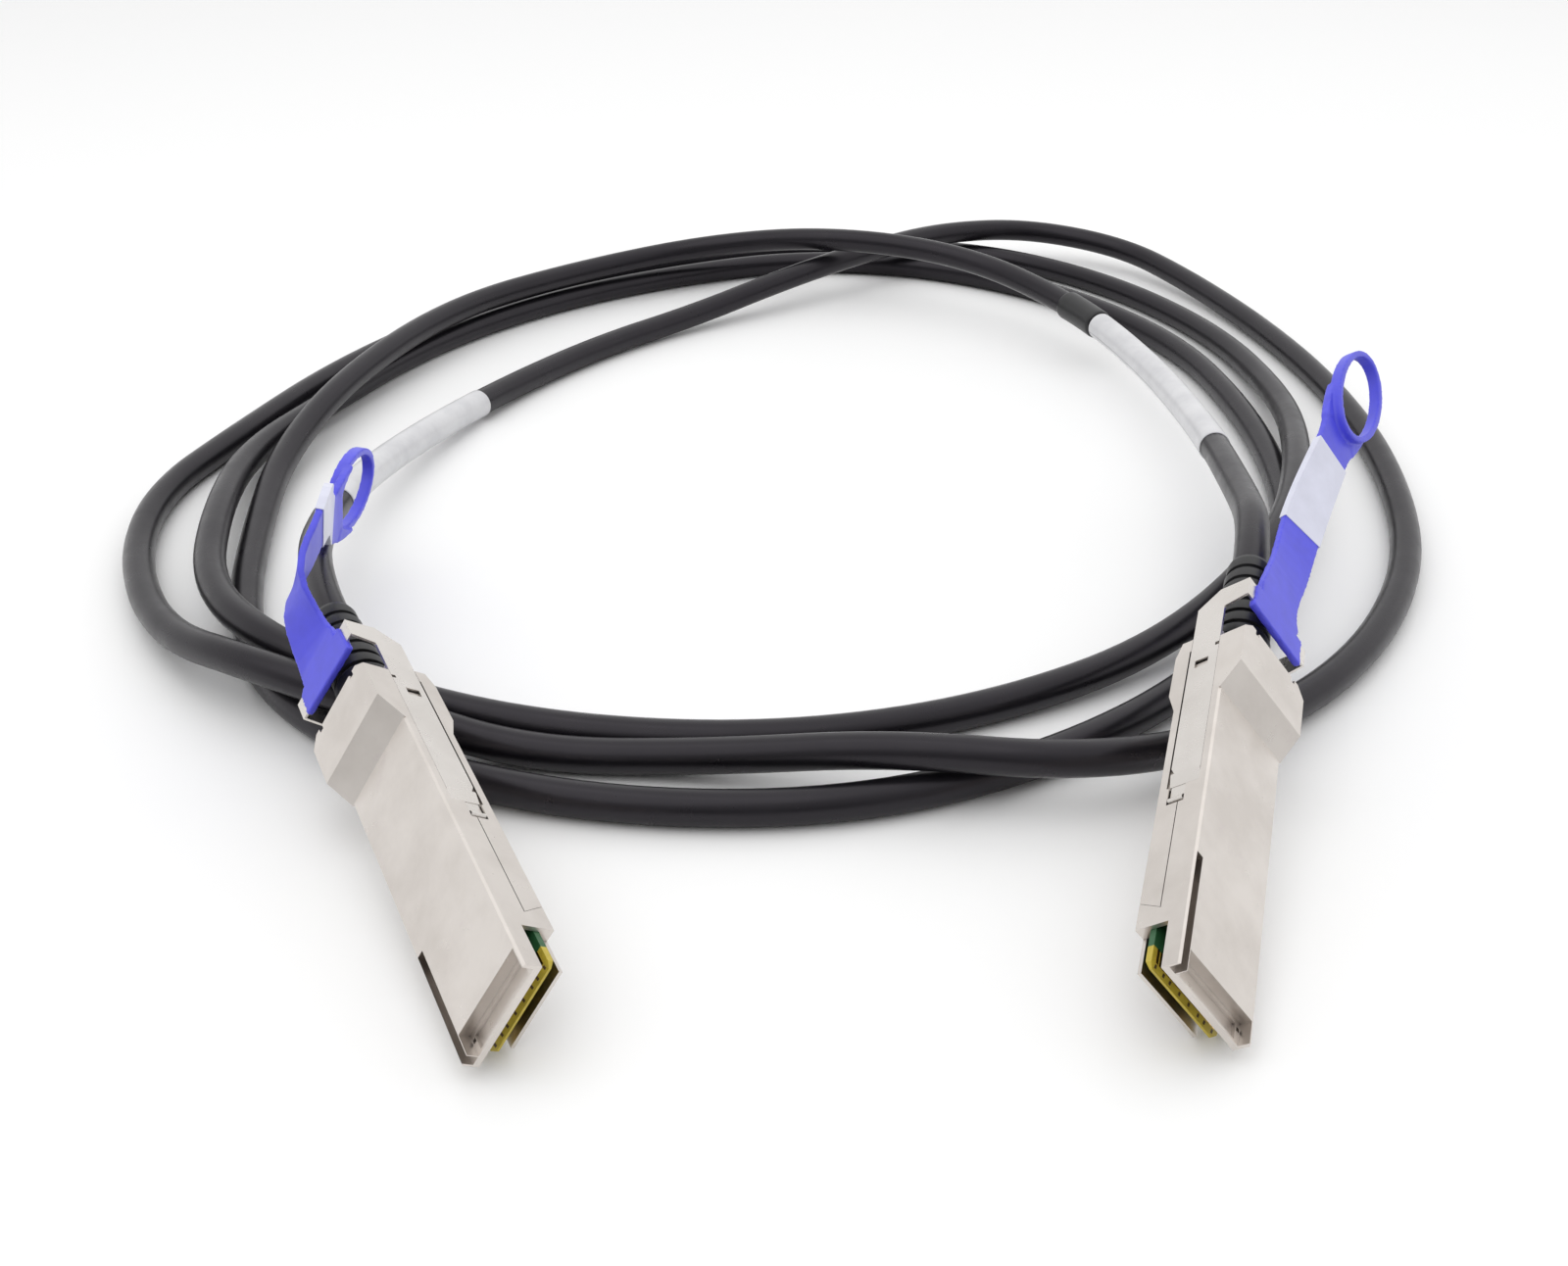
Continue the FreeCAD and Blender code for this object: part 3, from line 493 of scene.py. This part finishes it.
# thins the base on both faces, less and less over the flare behind it
def thinBase(piece, pose):
    back = pose.inverted()
    flatEnd = pullTab["front"] + pullTab["flat"]
    normals = [(back.to_3x3() @ v.normal).z for v in piece.data.vertices]
    for vertex, up in zip(piece.data.vertices, normals):
        behind = (back @ vertex.co).y / mm - flatEnd
        share = min(1, max(0, 1 - behind / pullTab["flare"]))
        lower = math.copysign(pullTab["thin"] * share * mm, -up)
        vertex.co += pose.to_3x3() @ Vector((0, 0, lower))


def joinTo(piece, parts):
    pickOnly(piece)
    for part in parts:
        part.select_set(True)
    bpy.ops.object.join()


def dressTab(side):
    pose = poseOf(side)
    piece = mergedCopy(side + "_pull_tab", side + "PullTab")
    thinBase(piece, pose)
    fills = [makeBox(pose, low, high) for low, high in pullTab["bridge"]]
    joinTo(piece, fills + [makeWeb(side, sign) for sign in (1, -1)])
    skin = piece.modifiers.new("skin", "REMESH")      # one skin over all of it
    skin.mode = "VOXEL"
    skin.voxel_size = pullTab["grid"] * mm
    bpy.ops.object.modifier_apply(modifier=skin.name)
    relax = piece.modifiers.new("relax", "SMOOTH")
    relax.factor = pullTab["relax"]
    relax.iterations = pullTab["smooth"]
    bpy.ops.object.modifier_apply(modifier=relax.name)
    bpy.ops.object.shade_smooth()
    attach(piece, side + "_latch")
    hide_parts(side + "_pull_tab")
    print(piece.name, len(piece.data.polygons), "faces")


# short dark ends of the longer contacts on the card's sloped front edge
contactStubs = {"across": (-7.2, -5.2, -3.6, -1.2, 1.2, 3.6, 5.2, 7.2), "width": 0.46,
                "length": 0.62, "depth": 0.05, "front": 2.30, "top": -5.58, "slope": 15.3,
                "bevel": 0.02}


def makeStubs(side):
    deselectAll()
    bpy.ops.mesh.primitive_cube_add(size=1)
    piece = bpy.context.object
    piece.name = side + "ContactStubs"
    size = [contactStubs[key] * mm for key in ("width", "length", "depth")]
    bpy.ops.object.mode_set(mode="EDIT")
    bpy.ops.transform.resize(value=size)
    bpy.ops.mesh.bevel(offset=contactStubs["bevel"] * mm, segments=1)
    bpy.ops.object.mode_set(mode="OBJECT")
    shape = piece.data.copy()
    slope = Matrix.Rotation(math.radians(contactStubs["slope"]), 4, "X")
    reach = Matrix.Translation((0, contactStubs["length"] / 2 * mm, 0))
    stubs = [piece]
    for across in contactStubs["across"][1:]:
        stubs.append(bpy.data.objects.new("stub", shape.copy()))
        scene.collection.objects.link(stubs[-1])
    for stub, across in zip(stubs, contactStubs["across"]):
        corner = Vector((across, contactStubs["front"], contactStubs["top"])) * mm
        stub.data.transform(poseOf(side) @ Matrix.Translation(corner) @ slope @ reach)
    joinTo(piece, stubs[1:])
    piece.data.materials.append(finishes["contact_stub"])
    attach(piece, "base")


for side in connectors:
    dressConnector(side)
    dressTab(side)
    makeStubs(side)
print("connectors dressed")


cable = {
    "diameter": 6.6,
    "length": 3.2535,
    "route": [
        (-98.9, 16.4, 18.9), (-105.5, 29.8, 20.3), (-112, 56, 17), (-113, 93, 11), (-106, 131, 6),
        (-91, 168, 3.5), (-69, 201, 3.3), (-43, 226, 4), (-16, 244, 9.5), (10, 265, 11.7),
        (35, 286, 11.5), (64, 297, 9.5), (94, 285, 7), (110, 258, 4.5), (123, 218, 3.3),
        (130, 173, 3.3), (130, 124, 3.3), (120, 71, 3.3), (96, 28, 3.3), (64, -1, 4.5),
        (34, -18, 10.8), (2, -13, 10.6), (-29, -7, 4.5), (-61, -5, 3.3), (-86, 1, 8.3),
        (-113, 11, 12.4), (-139, 34, 5.5), (-157, 70, 3.3), (-162, 103, 3.3), (-154, 133, 3.3),
        (-139, 181, 3.3), (-116, 222, 3.3), (-85, 257, 3.3), (-45, 284, 3.3), (4, 297, 3.3),
        (50, 290, 3.3), (86, 258, 3.3), (109, 211, 3.3), (114, 158, 5), (104, 108, 10.8),
        (89, 66, 11), (59, 32, 4.5), (22, 10, 3.3), (-16, 0, 3.3), (-54, 2, 3.3), (-86, 9, 6),
        (-113, 21, 11), (-133, 46, 9.5), (-141.5, 82, 9), (-146, 121, 5.5), (-137, 156, 3.3),
        (-118, 203, 3.3), (-89, 239, 3.3), (-54, 264, 3.3), (-12, 282, 3.3), (32, 275, 3.3),
        (70, 247, 3.3), (96, 203, 3.3), (103, 153, 3.3), (101, 105, 3.3), (91, 66, 3.3),
        (69, 27, 3.3), (36, -3, 3.3), (-2, -20, 3.3), (-44, -21, 3.3), (-82, -9, 3.3),
        (-112, 14, 3.3), (-127, 47, 3.3), (-134.5, 87, 3.3), (-137.5, 121, 5.5), (-130, 159, 10.6),
        (-112, 213, 10.6), (-80, 247, 10.4), (-40, 267, 13), (-2, 253, 19.8), (38, 240, 18),
        (66, 208, 13.5), (79, 163, 12.5), (82, 110, 16), (78, 64, 22.5), (74.1, 38.6, 27.5),
        (69.9, 24.4, 25.1),
    ],
    "steps": 10,        # along, between two points of the route
    "roundness": 6,
}


def makeCable():
    curve = bpy.data.curves.new("cable", "CURVE")
    curve.dimensions = "3D"
    line = curve.splines.new("NURBS")
    line.points.add(len(cable["route"]) - 1)
    for point, (x, y, z) in zip(line.points, cable["route"]):
        point.co = (x * mm, y * mm, z * mm, 1)
    line.order_u = 3
    line.use_endpoint_u = True
    line.resolution_u = cable["steps"]
    curve.resolution_u = cable["steps"]
    curve.bevel_depth = cable["diameter"] * mm / 2
    curve.bevel_resolution = cable["roundness"]
    curve.use_fill_caps = True
    curve.materials.append(finishes["black_jacket"])
    piece = bpy.data.objects.new("cable", curve)
    scene.collection.objects.link(piece)
    return piece


deselectAll()
cord = makeCable()
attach(cord, "base")
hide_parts(*[f"cable_{index}" for index in range(1, 6)])


# the route as the spline draws it, without its thickness
def routeLine():
    bare = cord.data.copy()
    bare.bevel_depth = 0
    bare.use_fill_caps = False
    thread = bpy.data.objects.new("thread", bare)
    scene.collection.objects.link(thread)
    bpy.context.view_layer.update()
    drawn = thread.evaluated_get(bpy.context.evaluated_depsgraph_get())
    line = bpy.data.meshes.new_from_object(drawn)
    points = [vertex.co.copy() for vertex in line.vertices]
    bpy.data.objects.remove(thread)
    return points


# films and shrink sleeve on the cable, from the nearer connector's boot
sleeves = {
    "left_cable_label": {"name": "leftCableFilm", "from": "left", "start": 62.0, "length": 83.0,
                         "radius": 3.58, "rounding": 0.25, "finish": "cable_film",
                         "slot": "label_film"},
    "right_cable_label": {"name": "rightCableFilm", "from": "right", "start": 75.0,
                          "length": 95.0, "radius": 3.58, "rounding": 0.25,
                          "finish": "cable_film", "slot": "label_film"},
    "heat_shrink": {"name": "heatShrink", "from": "right", "start": 170.5, "length": 16.5,
                    "radius": 3.95, "rounding": 0.9, "finish": "black_shrink",
                    "slot": "black_shrink"},
}
# what all three share: air under them, points round them, spacing along, arcs at their ends
sleeveMesh = {"air": 0.02, "around": 32, "spacing": 2.5, "arcSteps": 4, "smoothTo": 40}


# the wall seen from the side, as distances along the sleeve and radii
def sleeveWall(how):
    length = how["length"] * mm
    inner = (cable["diameter"] / 2 + sleeveMesh["air"]) * mm
    outer = how["radius"] * mm
    rounding = how["rounding"] * mm
    arc = []
    for step in range(sleeveMesh["arcSteps"], -1, -1):
        turn = math.pi / 2 * step / sleeveMesh["arcSteps"]
        arc.append((rounding * (1 - math.sin(turn)),
                    outer - (outer - inner) * (1 - math.cos(turn))))
    steps = round(length / (sleeveMesh["spacing"] * mm))
    flat = [rounding + (length - 2 * rounding) * step / steps for step in range(1, steps)]
    wall = arc + [(distance, outer) for distance in flat]
    wall += [(length - distance, radius) for distance, radius in reversed(arc)]
    wall += [(distance, inner) for distance in reversed(flat)]
    return wall


# the cable's middle and two directions across it, at each distance from the line's start
def framesAlong(line, distances):
    walked = [0.0]
    for a, b in zip(line, line[1:]):
        walked.append(walked[-1] + (b - a).length)
    frames = []
    up = Vector((0, 0, 1))
    for distance in distances:
        index = max(i for i, w in enumerate(walked[:-1]) if w <= distance)
        span = line[index + 1] - line[index]
        share = (distance - walked[index]) / span.length
        along = span.normalized()
        if 0 < index < len(line) - 2:
            before = (line[index + 1] - line[index - 1]).normalized()
            after = (line[index + 2] - line[index]).normalized()
            along = before.lerp(after, share).normalized()
        up = (up - along * up.dot(along)).normalized()
        frames.append((line[index] + span * share, up, along.cross(up)))
    return frames


def makeSleeve(node, how):
    line = routePoints if how["from"] == "left" else list(reversed(routePoints))
    wall = sleeveWall(how)
    distances = sorted({distance for distance, radius in wall})
    places = framesAlong(line, [how["start"] * mm + distance for distance in distances])
    frames = dict(zip(distances, places))
    count, rings = sleeveMesh["around"], len(wall)
    corners, faces = [], []
    for distance, radius in wall:
        centre, up, across = frames[distance]
        for step in range(count):
            turn = math.tau * step / count
            corners.append(centre + (up * math.cos(turn) + across * math.sin(turn)) * radius)
    for ring in range(rings):
        after = (ring + 1) % rings
        for step in range(count):
            beside = (step + 1) % count
            faces.append((ring * count + step, after * count + step,
                          after * count + beside, ring * count + beside))
    mesh = bpy.data.meshes.new(how["name"])
    mesh.from_pydata(corners, [], faces)
    around = mesh.uv_layers.new(name="around")
    for face in mesh.polygons:
        for loop, corner in zip(face.loop_indices, ((0, 0), (1, 0), (1, 1), (0, 1))):
            ring = face.index // count + corner[0]
            step = face.index % count + corner[1]
            around.data[loop].uv = (ring / rings, step / count)
    piece = bpy.data.objects.new(how["name"], mesh)
    scene.collection.objects.link(piece)
    pickOnly(piece)
    bpy.ops.object.mode_set(mode="EDIT")
    bpy.ops.mesh.select_all(action="SELECT")
    bpy.ops.mesh.normals_make_consistent(inside=False)
    bpy.ops.object.mode_set(mode="OBJECT")
    bpy.ops.object.shade_smooth_by_angle(angle=math.radians(sleeveMesh["smoothTo"]))
    mesh.materials.append(finishes[how["finish"]])
    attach(piece, "base")
    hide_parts(node)
    return piece


routePoints = routeLine()
sleevePieces = [makeSleeve(node, how) for node, how in sleeves.items()]
print("cable laid with its sleeves")


# the floor as it lights, and as the camera and the metal see it
stage = {"floor": 0.86, "seen": 1.0, "rough": 0.5, "size": 4.0, "middle": (0, 0.6, 0)}


def makeFloor():
    deselectAll()
    bpy.ops.mesh.primitive_plane_add(size=stage["size"], location=stage["middle"])
    floor = bpy.context.object
    floor.name = "floor"
    material, tree, shader = newMaterial("floorWhite")
    shader.inputs["Roughness"].default_value = stage["rough"]
    path = tree.nodes.new("ShaderNodeLightPath")
    seen = tree.nodes.new("ShaderNodeMath")
    seen.operation = "MAXIMUM"
    tree.links.new(path.outputs["Is Camera Ray"], seen.inputs[0])
    tree.links.new(path.outputs["Is Glossy Ray"], seen.inputs[1])
    colour = blend(tree, seen.outputs["Value"], grey(stage["floor"]), grey(stage["seen"]))
    tree.links.new(colour, shader.inputs["Base Color"])
    floor.data.materials.append(material)


# an even studio: bright above, beyond and beside, dimmer behind the camera, plain white to see
sky = {"front": 0.26, "sides": 0.90, "far": 0.98, "top": 0.75, "sidesAt": 0.45,
       "topFrom": 0.25, "topTo": 0.85}


def makeSky():
    world = bpy.data.worlds.new("sky")
    world.use_nodes = True
    tree = world.node_tree
    where = tree.nodes.new("ShaderNodeTexCoord")
    parts = tree.nodes.new("ShaderNodeSeparateXYZ")
    tree.links.new(where.outputs["Generated"], parts.inputs["Vector"])
    depth = tree.nodes.new("ShaderNodeMapRange")
    depth.inputs["From Min"].default_value = -1
    tree.links.new(parts.outputs["Y"], depth.inputs["Value"])
    low = ramp(tree, depth.outputs["Result"], [
        (0.0, grey(sky["front"])), (sky["sidesAt"], grey(sky["sides"])), (1.0, grey(sky["far"]))])
    height = ramp(tree, parts.outputs["Z"], [(sky["topFrom"], grey(0)), (sky["topTo"], grey(1))])
    light = blend(tree, height.outputs["Color"], low.outputs["Color"], grey(sky["top"]))
    path = tree.nodes.new("ShaderNodeLightPath")
    backdrop = blend(tree, path.outputs["Is Camera Ray"], light, grey(1))
    tree.links.new(backdrop, tree.nodes["Background"].inputs["Color"])
    scene.world = world


lamps = {
    "key": {"place": (-300, -150, 750), "size": 900, "power": 1.7},
    "fill": {"place": (450, 150, 650), "size": 1300, "power": 1.1},
    "back": {"place": (0, 600, 1000), "size": 1400, "power": 1.7},
}
lampAim = (0, 100, 0)


def makeLamps():
    for name, lamp in lamps.items():
        light = bpy.data.lights.new(name, "AREA")
        light.size = lamp["size"] * mm
        light.energy = lamp["power"]
        holder = bpy.data.objects.new(name, light)
        holder.location = [c * mm for c in lamp["place"]]
        aim = Vector(lampAim) * mm - holder.location
        holder.rotation_euler = aim.to_track_quat("-Z", "Y").to_euler()
        scene.collection.objects.link(holder)


# a normal lens, looking down at the coil from the connectors' side
camera = {"place": (-16.4, -247.6, 168.5), "down": 30.0, "roll": 0.13, "lens": 38.08,
          "sensor": 36, "nearest": 10}


def makeCamera():
    view = bpy.data.cameras.new("camera")
    view.lens = camera["lens"]
    view.sensor_width = camera["sensor"]
    view.clip_start = camera["nearest"] * mm
    holder = bpy.data.objects.new("camera", view)
    holder.location = [c * mm for c in camera["place"]]
    turn = Matrix.Rotation(math.radians(90 - camera["down"]), 4, "X")
    turn = turn @ Matrix.Rotation(math.radians(camera["roll"]), 4, "Z")
    holder.rotation_euler = turn.to_euler()
    scene.collection.objects.link(holder)
    scene.camera = holder


makeFloor()
makeSky()
makeLamps()
makeCamera()
scene.view_settings.view_transform = "Standard"
print("stage, lamps and camera")
